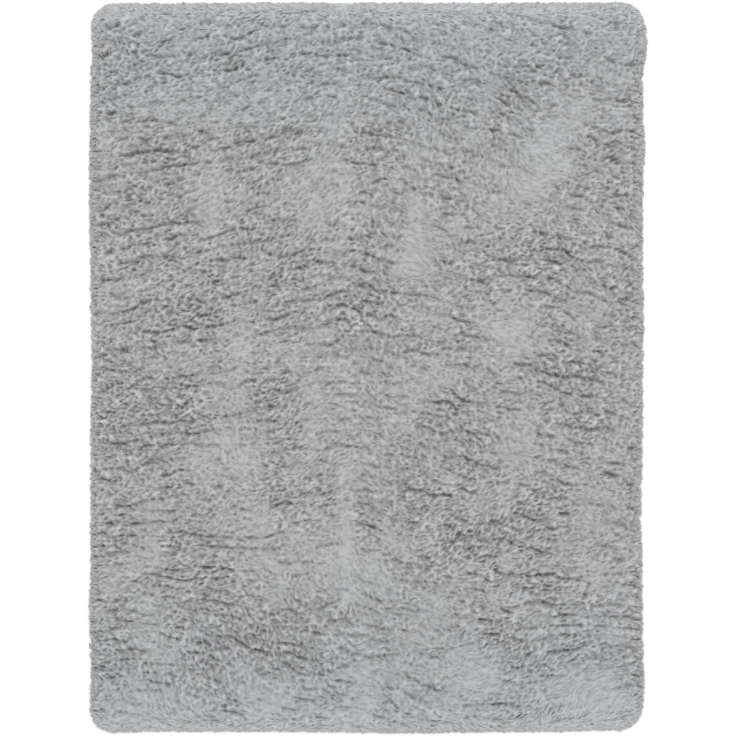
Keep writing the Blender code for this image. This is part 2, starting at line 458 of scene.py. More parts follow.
# %% [markdown]
# ## Strands
#
# Close up, strands of yarn lie side by side along the comb's way, a few millimetres wide and a
# little curly. Single hairs could draw them, but a surface that dips between them does it with far
# less. They are noise drawn out by the comb: a place's height is the mean of fine noise at several
# places in a line along the comb's way, and the line curls as the yarn does. What lies in one line
# comes out alike, and what lies side by side stays different, whichever way the comb goes.

# %% Strands
STRAND_WIDTH = 0.0037
STRAND_STEP = 0.0014
STRAND_STEPS = 2  # each way along the comb
STRAND_DEPTH = 0.0073
STRAND_NOISE = (
    Layer(size=STRAND_WIDTH, seed=71, share=1.8),
    Layer(size=2 * STRAND_WIDTH, seed=72, share=0.1),
)
CURL = np.radians(36)
CURL_SIZE = 0.011
CURL_SEED = 64


def curly_way(xy):
    """The comb's way, turned to and fro by fine noise as curly yarn is."""
    return turned(comb_way(xy), CURL * soft_noise(xy, CURL_SIZE, CURL_SEED))


def strand_height(xy):
    """From about -1 between strands to 1 on them: the mean of noise along the curls."""
    places = [xy]
    for side in (-1, 1):
        place = xy
        for _ in range(STRAND_STEPS):
            place = place + curly_way(place) * (side * STRAND_STEP)
            places.append(place)
    return sum(layered_noise(place, STRAND_NOISE) for place in places) / len(places)


print("a strand's noise is drawn out over", round(2 * STRAND_STEPS * STRAND_STEP, 4), "m")

# %% [markdown]
# ## Furrows
#
# A furrow opens where two tufts part. From above it is a short dark dash along the comb's way. A
# sum of waves can't make dashes that start and stop, so they are scattered: the rug is divided into
# cells, with one dash at a random place in each, turned along the comb's way there. A place's depth
# is the most that any dash in the nine cells about it gives.

# %% Furrows
FURROW_CELL = np.array([0.026, 0.034])
FURROW_SHAKE = np.array([1.0, 0.45])  # how freely it lies in its cell: rows stay a cell apart
FURROW_LENGTH = 0.016  # from its middle to where it has faded
LENGTH_RANGE = (0.5, 1.5)  # of that length, from furrow to furrow
FURROW_WIDTH = 0.0022
FURROW_DEPTH = 0.0038
FEW_DEEP = 1.5  # over 1, more furrows are shallow than deep
FURROW_FIELD = CLOTH / 2 + 0.10  # half the size of the field of cells
FURROW_SEED = 75
NEIGHBOURS = [(i, j) for i in (-1, 0, 1) for j in (-1, 0, 1)]


def scatter_furrows():
    """For each cell its furrow's middle, way, length and strength."""
    own = np.random.default_rng(FURROW_SEED)
    counts = np.ceil(2 * FURROW_FIELD / FURROW_CELL).astype(int)
    cells = np.stack(np.meshgrid(*map(np.arange, counts), indexing="ij"), axis=-1)
    middle = (cells + FURROW_SHAKE * own.uniform(0, 1, cells.shape)) * FURROW_CELL - FURROW_FIELD
    length = FURROW_LENGTH * own.uniform(*LENGTH_RANGE, counts)
    return middle, comb_way(middle), length, own.uniform(0, 1, counts) ** FEW_DEEP


furrow_middle, furrow_way, furrow_length, furrow_strength = scatter_furrows()


def furrow_depth(xy):
    """From 0 to 1 at the bottom of a furrow: the most of nine dashes, each a soft long bell."""
    cell = np.floor((xy + FURROW_FIELD) / FURROW_CELL).astype(int)
    deepest = np.zeros(xy.shape[:-1])
    for step in NEIGHBOURS:
        i, j = np.moveaxis(cell + step, -1, 0)
        away, way = xy - furrow_middle[i, j], furrow_way[i, j]
        along = (away * way).sum(axis=-1) / furrow_length[i, j]
        across = (away[..., 0] * way[..., 1] - away[..., 1] * way[..., 0]) / FURROW_WIDTH
        deepest = np.maximum(deepest, furrow_strength[i, j] * np.exp(-(along**4) - across**2))
    return deepest


print(furrow_strength.size, "furrows")

# %% [markdown]
# ## Rows of tufts
#
# The yarn is tufted through the cloth in lines, and leaning locks overlap the line before them like
# tiles. From above this gives broken dark rows about 34 mm apart. They run out from the spine and
# fall towards the near end, where they bend up again to its two corners. A cosine of the way across
# the rows is raised to a high power, which narrows its crests into valleys with wide tufts between.
# Noise makes the rows wander and takes stretches out of them.

# %% Rows of tufts
ROW_PITCH = 0.034
ROW_FALL = 0.20  # down the rug for each step outwards from the spine
ROW_TILT = 0.05  # and for each step to the right
Bend = namedtuple("Bend", "x y size rise")
ROW_BENDS = (
    Bend(x=-0.62, y=-0.82, size=0.37, rise=0.30),
    Bend(x=0.62, y=-0.82, size=0.26, rise=0.18),
)
ROW_WANDER = 0.012
WANDER_NOISE = (Layer(size=0.060, seed=81, share=1.0), Layer(size=0.026, seed=82, share=0.6))
ROW_SHARPNESS = 8
STRETCH = (0.026, 0.016)  # the size of what noise leaves of a row, along it and across
STRETCH_SEED = 83
STRETCH_CONTRAST = 1.1
ROW_DEPTH = 0.0132


def between_rows(xy):
    """From 0 on the tufts to 1 between their rows: a sharpened cosine across wandering lines."""
    x, y = xy[..., 0], xy[..., 1]
    lines = y + ROW_FALL * np.hypot(x - SPINE_X, SPINE_WIDTH) + ROW_TILT * x
    for bend in ROW_BENDS:
        away = ((x - bend.x) ** 2 + (y - bend.y) ** 2) / bend.size**2
        lines = lines - bend.rise * np.exp(-away)
    turns = (lines + ROW_WANDER * layered_noise(xy, WANDER_NOISE)) / ROW_PITCH
    valley = (0.5 + 0.5 * np.cos(2 * np.pi * turns)) ** ROW_SHARPNESS
    return valley * ease(0.5 + STRETCH_CONTRAST * soft_noise(xy, STRETCH, STRETCH_SEED))


print(int(CLOTH[1] / ROW_PITCH), "rows of tufts from end to end")

# %% [markdown]
# ## All of it together
#
# The pile's height at a place is its middle height, plus the long lumps, plus the strands, less the
# furrows and the rows. Where the pile is calm there is little of the last three, and there is less
# of them where it hangs down past the edge. Crests tend to a limit, as yarn that stands too high
# falls over. The same function serves the fleece and, later, each lock that lies on it.

# %% Pile height
ORDER = 0.82  # how much of the relief goes where the pile is wholly calm
ROLLED_ORDER = 0.65  # and where it hangs down at the edge
SIDE_ROLLED = 0.018  # past the cloth's edge, where it starts to go at the long sides
END_ROLLED = 0.004
ROLLED_WIDTH = 0.020
MOST_RISE = 0.0076  # above the lumps: a crest tends to this as its strands pile up
Pile = namedtuple("Pile", "height calm crest")


def pile_at(xy):
    """The height of the pile at places, how calm it is there, and how far up on its strands.

    Relief over 0 is capped softly: the most rise times the hyperbolic tangent of its share of it.
    """
    calm = calmness(xy)
    past, _ = edge_of(xy)
    start = SIDE_ROLLED + (END_ROLLED - SIDE_ROLLED) * near_ends(xy)
    unrest = (1 - ORDER * calm) * (1 - ROLLED_ORDER * ease((past - start) / ROLLED_WIDTH))
    strands, furrow, row = strand_height(xy), furrow_depth(xy), between_rows(xy)
    relief = unrest * (STRAND_DEPTH * strands - FURROW_DEPTH * furrow - ROW_DEPTH * row)
    relief = np.where(relief > 0, MOST_RISE * np.tanh(relief / MOST_RISE), relief)
    return Pile(PILE_HEIGHT + lumps(xy) + relief, calm, unrest * (strands - furrow - row))


sample = pile_at(sample_places(2)).height
print("with strands and furrows it is", sample.min().round(4), "to", sample.max().round(4), "m high")

# %% [markdown]
# ## Into Blender
#
# foreach_set copies a whole array into a mesh at once, which takes a blink where a loop over half a
# million points would take minutes.

# %% Make a mesh from arrays
MAP_NAME = "OFBake"


def mesh_object(name, points, triangles, places=None):
    """A smooth-shaded mesh object at the origin from points, triangles and their map places."""
    mesh = bpy.data.meshes.new(name)
    mesh.vertices.add(len(points))
    mesh.vertices.foreach_set("co", np.ascontiguousarray(points, dtype=np.float32).ravel())
    mesh.loops.add(triangles.size)
    mesh.loops.foreach_set("vertex_index", np.ascontiguousarray(triangles, dtype=np.int32).ravel())
    mesh.polygons.add(len(triangles))
    mesh.polygons.foreach_set("loop_start", np.arange(0, triangles.size, 3, dtype=np.int32))
    mesh.update(calc_edges=True)
    if places is not None:
        layer = mesh.uv_layers.new(name=MAP_NAME)
        layer.uv.foreach_set("vector", np.ascontiguousarray(places, dtype=np.float32).ravel())
    mesh.shade_smooth()
    mesh.validate()
    made = bpy.data.objects.new(name, mesh)
    bpy.context.scene.collection.objects.link(made)
    return made


print("each map is named", MAP_NAME)

# %% [markdown]
# ## Tone and cast
#
# The pile isn't one grey. Painted shade makes the fleece darker between its strands, and painted
# light makes the pile paler at the two short ends and at the rim. The rug is cooler at its ends
# than in its middle, by a little, and cooler on calm pile, where the cool is a painted reflection
# of the sky. Calm pile catches more light, so it gets slightly darker yarn to end up only a little
# lighter. All of it is worked out here as numbers from 0 to 1, which the finishes turn into
# colours. A table of shares says how much each cause adds, for the fleece and for the locks.

# %% Tone and cast
Shares = namedtuple("Shares", "middle calm ends border")
# painted light: the shares for the short ends and the border make the pile paler there
FLEECE_TONE = Shares(middle=0.50, calm=-0.20, ends=0.25, border=0.15)
LOCK_TONE = Shares(middle=0.50, calm=-0.12, ends=0.55, border=0.15)
# the cast's calm share is a painted reflection of the sky: calm pile comes out cooler
CAST = Shares(middle=0.38, calm=0.15, ends=0.60, border=0.0)
TONE_REACH = 0.090  # how far in from the short ends their painted light goes
CAST_REACH = 0.550  # and their cooler cast


def shaded(xy, calm, shares, reach):
    """The sum of a table's shares: its middle, and what calm, the short ends and the border add."""
    total = shares.middle + shares.calm * calm + shares.border * border(xy)
    return total + shares.ends * near_ends(xy, reach)


rug_middle = np.zeros(2)
print("tone in the middle", shaded(rug_middle, 0, FLEECE_TONE, TONE_REACH).round(2))
print("cast in the middle", shaded(rug_middle, 0, CAST, CAST_REACH).round(2))

# %% [markdown]
# ## The fleece
#
# The dense part of the pile is one surface: a fine grid over the cloth, rounded at its corners,
# raised to the pile's height and rolled over the edge. Single locks will lie on it later. One
# object with half a million faces would be clumsy, so it is cut into strips across the rug, as a
# loom would make them. Each strip is a closed block with walls and an underside. The strips share
# the normals of the whole surface, so that no seam shows where they meet.

# %% Grid helpers
def grid_triangles(rows, columns):
    """Two triangles for each square of a grid whose points are numbered row by row."""
    first = (np.arange(rows - 1)[:, None] * columns + np.arange(columns - 1)).reshape(-1)
    lower = np.stack([first, first + 1, first + columns + 1], axis=-1)
    upper = np.stack([first, first + columns + 1, first + columns], axis=-1)
    return np.concatenate([lower, upper])


def boundary(rows, columns):
    """The numbers of a grid's outer points, once round."""
    near = np.arange(columns)
    right = np.arange(1, rows) * columns + columns - 1
    far = (rows - 1) * columns + np.arange(columns - 2, -1, -1)
    left = np.arange(rows - 2, 0, -1) * columns
    return np.concatenate([near, right, far, left])


print("a grid of 3 by 4 points has", len(grid_triangles(3, 4)), "triangles")

# %% Fleece surface
FLEECE_PITCH = 0.0028
PAINTED_DIP_SHADE = 0.22  # painted shade: how much paler a strand's crest is than the middle of its side, and its dips darker
UNEVEN_CAST = (Layer(size=0.12, seed=35, share=0.15),)


def fleece_surface():
    """The grid's points, its upward normals, and its tone and cast from 0 to 1.

    The skirt round the cloth is as long as the roll needs to reach the floor. A normal is the
    cross product of the grid's two gradients.
    """
    half = CLOTH / 2 + ROLL_RADIUS * MOST_TURN + ROLL_START
    counts = np.ceil(2 * half / FLEECE_PITCH).astype(int) + 1
    x, y = np.linspace(-half[0], half[0], counts[0]), np.linspace(-half[1], half[1], counts[1])
    flat = round_corners(np.stack(np.meshgrid(x, y), axis=-1))
    pile = pile_at(flat)
    points = roll_over(np.concatenate([flat, pile.height[..., None]], axis=-1))
    points[..., :2] = swell_edges(points[..., :2])
    normals = unit(np.cross(np.gradient(points, axis=1), np.gradient(points, axis=0)))
    # painted shade in the dips, and painted light at the short ends and the rim, go into the tone
    tone = shaded(flat, np.maximum(pile.calm, 0), FLEECE_TONE, TONE_REACH) + PAINTED_DIP_SHADE * pile.crest
    cast = shaded(flat, pile.calm, CAST, CAST_REACH) + layered_noise(flat, UNEVEN_CAST)
    return points, normals, np.clip(tone, 0, 1), np.clip(cast, 0, 1)


surface = fleece_surface()
print("the fleece is a grid of", surface[0].shape[:2], "points")

# %% Fleece map
TOP_OF_MAP = 0.94  # the top fills the map up to here
WALL_OF_MAP = (0.955, 0.965)  # the wall's foot and head
UNDER_OF_MAP = (0.975, 0.020)  # where the underside starts, and how high it is


def strip_map(rows, columns, rim):
    """Map places for each corner of a strip's triangles, in the order that they are made.

    The top fills most of the map as it lies. Above it come the wall, unrolled, and the underside,
    pressed flat. The export bakes the finish onto this map, so no two of the three may overlap.
    """
    column, row = np.meshgrid(np.linspace(0, 1, columns), np.linspace(0, TOP_OF_MAP, rows))
    top = np.stack([column, row], axis=-1).reshape(-1, 2)
    round_it = np.arange(len(rim) + 1) / len(rim)
    high, low = (np.stack([round_it, np.full(len(rim) + 1, v)], axis=-1) for v in WALL_OF_MAP)
    lower_wall = np.stack([low[:-1], low[1:], high[1:]], axis=1)
    upper_wall = np.stack([low[:-1], high[1:], high[:-1]], axis=1)
    foot = top[rim] * (1, UNDER_OF_MAP[1] / TOP_OF_MAP) + (0, UNDER_OF_MAP[0])
    middle = np.broadcast_to(foot.mean(axis=0), foot.shape)
    under = np.stack([np.roll(foot, -1, axis=0), foot, middle], axis=1)
    return np.concatenate([top[grid_triangles(rows, columns)], lower_wall, upper_wall, under])


print("the top of a strip fills", TOP_OF_MAP, "of its map")

# %% Fleece strips
FLEECE_STRIPS = 4
FLEECE_FLOOR = 0.0018


def fleece_strip(name, points, normals, tone, cast):
    """A block of the grid, closed with a wall down to the floor and a fan underneath."""
    rows, columns = points.shape[:2]
    top = points.reshape(-1, 3)
    rim = boundary(rows, columns)
    foot = top[rim] * (1, 1, 0) + (0, 0, FLEECE_FLOOR)
    low = len(top) + np.arange(len(rim))
    middle = len(top) + len(rim)
    after, low_after = np.roll(rim, -1), np.roll(low, -1)
    wall = [np.stack([low, low_after, after], axis=-1), np.stack([low, after, rim], axis=-1)]
    under = np.stack([low_after, low, np.full(len(rim), middle)], axis=-1)
    corners = np.concatenate([top, foot, [foot.mean(axis=0)]])
    faces = np.concatenate([grid_triangles(rows, columns), *wall, under])
    strip = mesh_object(name, corners, faces, strip_map(rows, columns, rim))
    shades = np.zeros(corners.shape)
    shades[: len(top)] = normals.reshape(-1, 3)
    strip.data.normals_split_custom_set_from_vertices(shades)
    for label, values in (("tone", tone), ("cast", cast)):
        layer = strip.data.attributes.new(label, "FLOAT", "POINT")
        stored = np.pad(values.reshape(-1), (0, len(rim) + 1), constant_values=values.mean())
        layer.data.foreach_set("value", stored.astype(np.float32))
    return strip


cuts = np.linspace(0, len(surface[0]) - 1, FLEECE_STRIPS + 1).astype(int)
fleece_strips = []
for number, (start, stop) in enumerate(zip(cuts, cuts[1:]), start=1):
    strip = fleece_strip(f"fleece_strip_{number}", *(part[start : stop + 1] for part in surface))
    fleece_strips.append(strip)
    print(strip.name, len(strip.data.polygons), "faces")

# %% [markdown]
# ## The locks
#
# Single locks catch the light on top of the fleece and break up its outline. There are two habits:
# short fine locks that lie all over the fleece, and long thick ones that are rooted near the edge
# and hang down over it to the floor. A lock is a path: in plan it goes out from its root along the
# comb's way, with a bend and some disorder of its own. In height it starts inside the fleece,
# follows the pile's height at each of its points, and lifts a little. A habit gives the lift at each
# point, the turn in radians and the rest in metres. All of it is arithmetic on arrays with one row
# for each lock and one column for each point along it.

# %% Lock roots
Habit = namedtuple("Habit", "pitch reach lift stand turn bend half_width seed")
LYING = Habit(
    pitch=0.0096,
    reach=0.022,
    lift=(-0.0020, 0.0002, 0.0006, 0.0002),
    stand=0.0030,
    turn=0.30,
    bend=0.0035,
    half_width=0.0016,
    seed=41,
)
HANGING = Habit(
    pitch=0.0060,
    reach=0.043,
    lift=(-0.0025, 0.0003, 0.0008, 0.0008),
    stand=0.0008,
    turn=0.22,
    bend=0.0050,
    half_width=0.0028,
    seed=46,
)
ROOT_SKIRT = 0.022  # the pile that rolls over the edge has locks too, so roots are set past it
HANGING_BAND = (-0.010, 0.008)  # past the cloth's edge, where the hanging locks are rooted
ROOT_SHAKE = 0.48  # of the pitch, each way, so that no root passes the next


def scatter_roots(habit):
    """Places for the roots: a grid shaken by nearly its own pitch, rounded at its corners."""
    half = CLOTH / 2 + ROOT_SKIRT
    counts = (2 * half / habit.pitch).astype(int)
    x = (np.arange(counts[0]) + 0.5) * habit.pitch - half[0]
    y = (np.arange(counts[1]) + 0.5) * habit.pitch - half[1]
    field = np.stack(np.meshgrid(x, y), axis=-1).reshape(-1, 2)
    own = np.random.default_rng(habit.seed)
    field += own.uniform(-ROOT_SHAKE, ROOT_SHAKE, field.shape) * habit.pitch
    return round_corners(field)


lying_roots, hanging_roots = scatter_roots(LYING), scatter_roots(HANGING)
past, _ = edge_of(hanging_roots)
hanging_roots = hanging_roots[(past > HANGING_BAND[0]) & (past < HANGING_BAND[1])]
print(len(lying_roots), "locks lie on the fleece,", len(hanging_roots), "hang over its edge")

# %% Lock paths
LOCK_POINTS = np.array([0.0, 0.36, 0.70, 1.0])  # from root to tip
STAND_SHARE = np.array([0.0, 0.2, 0.7, 1.0])  # how the stand of a lock is shared along it
REACH_RANGE = (0.6, 1.3)  # of the habit's reach, from lock to lock
WIDTH_RANGE = (0.75, 1.25)  # and of its half width
FEW_STAND = 2  # over 1, more locks lie low than stand up
Locks = namedtuple("Locks", "points direction tone half_width")


def grow_locks(roots, habit):
    """The points of each lock, its direction in plan, its tone and its half width.

    In plan a point is the root, plus the direction times its share of the reach, plus a bend that
    is a parabola. Its height is the pile's there, plus its lift.
    """
    own = np.random.default_rng(habit.seed + 1)
    count = len(roots)
    unrest = 1 - ORDER * calmness(roots)
    direction = turned(comb_way(roots), habit.turn * unrest * own.normal(size=count))
    aside = turned(direction, np.pi / 2)
    reach = habit.reach * own.uniform(*REACH_RANGE, count)
    bend = habit.bend * unrest * own.normal(size=count)
    t = LOCK_POINTS[None, :, None]
    plan = roots[:, None, :] + direction[:, None, :] * reach[:, None, None] * t
    plan = plan + (aside * bend[:, None])[:, None, :] * 4 * t * (1 - t)
    pile = pile_at(plan)
    stand = habit.stand * own.uniform(0, 1, count) ** FEW_STAND
    height = pile.height + np.array(habit.lift) + stand[:, None] * STAND_SHARE
    points = roll_over(np.concatenate([plan, height[..., None]], axis=-1))
    points[..., :2] = swell_edges(points[..., :2])
    half_width = habit.half_width * own.uniform(*WIDTH_RANGE, count)
    # painted light: paler at the short ends and the rim, by the shares in LOCK_TONE
    tone = shaded(roots, np.maximum(pile.calm[:, 0], 0), LOCK_TONE, TONE_REACH)
    return Locks(points, direction, tone, half_width)


grown = [grow_locks(lying_roots, LYING), grow_locks(hanging_roots, HANGING)]
locks = Locks(*(np.concatenate(parts) for parts in zip(*grown)))
low, high = locks.points.min(axis=(0, 1)), locks.points.max(axis=(0, 1))
print("the locks reach from", low.round(3), "to", high.round(3))

# %% [markdown]
# Each path then gets a skin: a three-sided tube, flattened, fullest in the middle and drawn out to
# a point. Three sides are enough at this size. Tens of thousands of locks have to stay light, and
# shading rounds them off. The skin's map runs round the lock and from root to tip, the same for
# all, so that one fine strip of fibre can be painted on every lock. Where a lock starts on that map
# is its tone.

# %% Lock skins
RING_POINTS = 3
PROFILE = np.array([0.8, 1.0, 0.8])  # the half width at each ring, as a share of the most
FLATNESS = 0.60
LOCKS_ON_MAP = 24  # that would fit side by side
MAP_WIDTH = 1 / LOCKS_ON_MAP  # how much of the map's width goes round one lock
ROOT_ON_MAP = ((0.9, 0.0), (0.5, 0.03), (0.1, 0.0))  # the small face at the root, next to v = 0
MOST_ROLL = 0.5  # either way, so that no two skins show the same side up
SKIN_SEED = 43


def lock_faces():
    """One lock's faces as point numbers, three-cornered throughout: sides, tip and root."""
    rings = len(LOCK_POINTS) - 1
    faces, places = [], []
    across = np.arange(RING_POINTS + 1) / RING_POINTS
    for ring in range(rings):
        low, high = LOCK_POINTS[ring], LOCK_POINTS[ring + 1]
        for k in range(RING_POINTS):
            a, b = ring * RING_POINTS + k, ring * RING_POINTS + (k + 1) % RING_POINTS
            u, u2 = across[k], across[k + 1]
            if ring == rings - 1:
                faces.append((a, b, rings * RING_POINTS))
                places.append(((u, low), (u2, low), ((u + u2) / 2, high)))
            else:
                c, d = b + RING_POINTS, a + RING_POINTS
                faces += [(a, b, c), (a, c, d)]
                places += [((u, low), (u2, low), (u2, high)), ((u, low), (u2, high), (u, high))]
    for k in range(2, RING_POINTS):
        faces.append((k, k - 1, 0))
        places.append(ROOT_ON_MAP)
    return np.array(faces), np.array(places)


def lock_skins(locks):
    """The skin's points: a ring about each path point but the last, and the tip itself.

    A ring's points are the path's, plus the cosine of their angle to the side and its sine,
    flattened, upwards.
    """
    own = np.random.default_rng(SKIN_SEED)
    points, direction = locks.points, locks.direction
    count = len(points)
    along = unit(np.gradient(points, axis=1))
    side = np.stack([-direction[:, 1], direction[:, 0], np.zeros(count)], axis=-1)[:, None, :]
    side = unit(side - along * (side * along).sum(axis=-1, keepdims=True))
    up = np.cross(along, side)
    size = locks.half_width[:, None] * PROFILE[None, :]
    roll, twist = own.uniform(-MOST_ROLL, MOST_ROLL, (2, count, 1))
    turn = np.pi / 2 + roll + twist * LOCK_POINTS[:-1]
    rings = []
    for k in range(RING_POINTS):
        angle = turn + 2 * np.pi * k / RING_POINTS
        aside, upwards = np.cos(angle)[..., None], FLATNESS * np.sin(angle)[..., None]
        out = side[:, :-1] * aside + up[:, :-1] * upwards
        rings.append(points[:, :-1] + out * size[..., None])
    skin = np.stack(rings, axis=2).reshape(count, -1, 3)
    skin = np.concatenate([skin, points[:, -1:]], axis=1)
    skin[..., 2] = np.maximum(skin[..., 2], FLOOR_CLEARANCE / 2)
    return skin


skins = lock_skins(locks)
faces, places = lock_faces()
print(len(faces), "faces on each lock,", len(faces) * len(skins), "in all")

# %% Pile strips
PILE_STRIPS = 3
TONE_SEED = 44
UNEVEN_TONE = 0.12
lock_tone = locks.tone + UNEVEN_TONE * np.random.default_rng(TONE_SEED).normal(size=len(skins))
lock_tone = np.clip(lock_tone, 0, 1)
order = np.argsort(-locks.points[:, 0, 1], kind="stable")
pile_strips = []
for number, members in enumerate(np.array_split(order, PILE_STRIPS), start=1):
    points = skins[members]
    base = (np.arange(len(members)) * points.shape[1])[:, None, None]
    numbers = (faces + base).reshape(-1, 3)
    start_u = (lock_tone[members] * (1 - MAP_WIDTH))[:, None, None]
    lock_places = np.array(np.broadcast_to(places, (len(members), *places.shape)))
    lock_places[..., 0] = lock_places[..., 0] * MAP_WIDTH + start_u
    strip = mesh_object(f"pile_strip_{number}", points.reshape(-1, 3), numbers, lock_places)
    pile_strips.append(strip)
    print(strip.name, len(strip.data.polygons), "faces")

# %% [markdown]
# ## The cloth
#
# Under it all is the cloth that the yarn is tufted through. Only someone who turns the rug over
# sees it, so it is a plain flat sheet of its real thickness with a woven finish. It is made of
# rings: each is the cloth's outline drawn in by some share, first on the underside from the middle
# out, then on top back to the middle.

# %% Cloth
CLOTH_THICKNESS = 0.0015
CORNER_STEPS = 10
SIDE_STEPS = 30
Ring = namedtuple("Ring", "share height")
CLOTH_RINGS = (  # each with its share of the outline and how high it lies
    Ring(share=0.5, height=0.0),
    Ring(share=0.999, height=0.0),
    Ring(share=1.0, height=0.0004),
    Ring(share=1.0, height=0.0011),
    Ring(share=0.999, height=CLOTH_THICKNESS),
    Ring(share=0.5, height=CLOTH_THICKNESS),
)


def outline_points():
    """The rounded outline once round, anticlockwise: an arc for each corner and straights between."""
    angles = np.radians(np.linspace(0, 90, CORNER_STEPS))
    arc = np.stack([np.cos(angles), np.sin(angles)], axis=-1) * CORNER_RADIUS
    loop = []
    corners = ((1, 1), (-1, 1), (-1, -1), (1, -1))
    for quarter, signs in enumerate(corners):
        bend = turned(arc, quarter * np.pi / 2) + CORE * signs
        follow = CORE * corners[(quarter + 1) % 4] + turned(arc, (quarter + 1) * np.pi / 2)[0]
        share = np.linspace(0, 1, SIDE_STEPS, endpoint=False)[1:, None]
        loop += [bend, bend[-1] * (1 - share) + follow * share]
    return np.concatenate(loop)


def make_cloth():
    """The sheet as rings of the outline, closed at a point in the middle of both faces."""
    outline = swell_edges(outline_points())
    count = len(outline)
    rings = [np.column_stack([outline * r.share, np.full(count, r.height)]) for r in CLOTH_RINGS]
    points = np.concatenate([*rings, [[0, 0, 0], [0, 0, CLOTH_THICKNESS]]])
    here = np.arange(count)
    after = np.roll(here, -1)
    triangles = [np.stack([after, here, np.full(count, len(points) - 2)], axis=-1)]
    last = (len(rings) - 1) * count
    for start in range(0, last, count):
        a, b = here + start, after + start
        c, d = b + count, a + count
        triangles += [np.stack([a, b, c], axis=-1), np.stack([a, c, d], axis=-1)]
    triangles.append(np.stack([here + last, after + last, np.full(count, len(points) - 1)], axis=-1))
    return mesh_object("cloth", points, np.concatenate(triangles))


cloth = make_cloth()
print(cloth.name, len(cloth.data.polygons), "faces")

# %% [markdown]
# ## Finishes
#
# Shader graphs read best as sums, so a small class wraps a socket and lets Python's own operators
# add the Math nodes. Another small class makes every other node from its type, its settings and its
# inputs.

# %% Shader maths
SOCKETS = {  # short names for what is the same all over a finish
    "roughness": "Roughness",
    "specular": "Specular IOR Level",
    "sheen": "Sheen Weight",
    "sheen_roughness": "Sheen Roughness",
}


class Number:
    """A socket that holds a number, for use in plain sums."""

    def __init__(self, finish, socket):
        self.finish, self.socket = finish, socket

    def _math(self, operation, first, second):
        node = self.finish.node("ShaderNodeMath", {"operation": operation}, {0: first, 1: second})
        return Number(self.finish, node.outputs[0])

    def __add__(self, other):
        return self._math("ADD", self, other)

    def __radd__(self, other):
        return self._math("ADD", other, self)

    def __sub__(self, other):
        return self._math("SUBTRACT", self, other)

    def __rsub__(self, other):
        return self._math("SUBTRACT", other, self)

    def __mul__(self, other):
        return self._math("MULTIPLY", self, other)

    def __rmul__(self, other):
        return self._math("MULTIPLY", other, self)


class Finish:
    """A material with one Principled shader, and the one method that adds its nodes."""

    def __init__(self, name, **constants):
        self.material = bpy.data.materials.new(name)
        self.material.use_nodes = True
        self.tree = self.material.node_tree
        self.shader = self.tree.nodes["Principled BSDF"]
        for key, value in constants.items():
            self.shader.inputs[SOCKETS[key]].default_value = value

    def feed(self, socket, value):
        """Links a socket to another, or sets its value."""
        if isinstance(value, Number):
            value = value.socket
        if isinstance(value, bpy.types.NodeSocket):
            self.tree.links.new(value, socket)
        else:
            socket.default_value = value

    def node(self, kind, settings=None, inputs=None):
        """A node of a type: its settings first, then the values or links of its sockets."""
        node = self.tree.nodes.new(kind)
        for key, value in (settings or {}).items():
            setattr(node, key, value)
        for key, value in (inputs or {}).items():
            self.feed(node.inputs[key], value)
        return node

    def mix(self, share, low, high):
        """A colour between two others."""
        node = self.node("ShaderNodeMix", {"data_type": "RGBA"}, {"Factor": share})
        self.feed(node.inputs[6], low)
        self.feed(node.inputs[7], high)
        return node.outputs[2]

    def noise(self, place, settings=None, **inputs):
        """Blender's own noise at a place, from about 0 to 1."""
        inputs = {key.capitalize(): value for key, value in inputs.items()}
        node = self.node("ShaderNodeTexNoise", settings, {"Vector": place, **inputs})
        return Number(self, node.outputs[0])

    def colour(self, value):
        """Feeds the shader's base colour."""
        self.feed(self.shader.inputs["Base Color"], value)

    def bump(self, height, distance, strength=1.0):
        """Feeds the shader's normal with a height. At 1 it stands for the distance, in metres."""
        inputs = {"Height": height, "Distance": distance, "Strength": strength}
        self.feed(self.shader.inputs["Normal"], self.node("ShaderNodeBump", None, inputs).outputs[0])


print("a finish can set", ", ".join(SOCKETS))

# %% [markdown]
# ### Pile
#
# The yarn is a light neutral grey. Painted shade makes each lock a little darker where it leaves
# the cloth, down in the pile, and it is palest at its tips. Each lock is a bundle of fine fibres, so
# streaks run from root to tip, in colour and in height. All of it is a function of the lock's own
# map: u is the tone of the lock and where round it a point lies, and v runs from root to tip. A soft
# sheen stands for the fuzz on the yarn.

# %% Pile finish
PILE_DARK = (0.322, 0.321, 0.322, 1)
# the faint blue of the light end is a painted reflection of the sky
PILE_LIGHT = (0.448, 0.452, 0.460, 1)
# painted shade: each lock's root is darkened to this share of its colour
ROOT_SHADE = 0.75
SHADE_START = 0.05  # of the way from root to tip, where the root's shade starts to fade
SHADE_END = 0.75
STREAKS = 7 * LOCKS_ON_MAP  # seven round each lock
STREAK_TURNS = 3.0  # how often a streak changes from root to tip
STREAK_DEPTH = 0.08


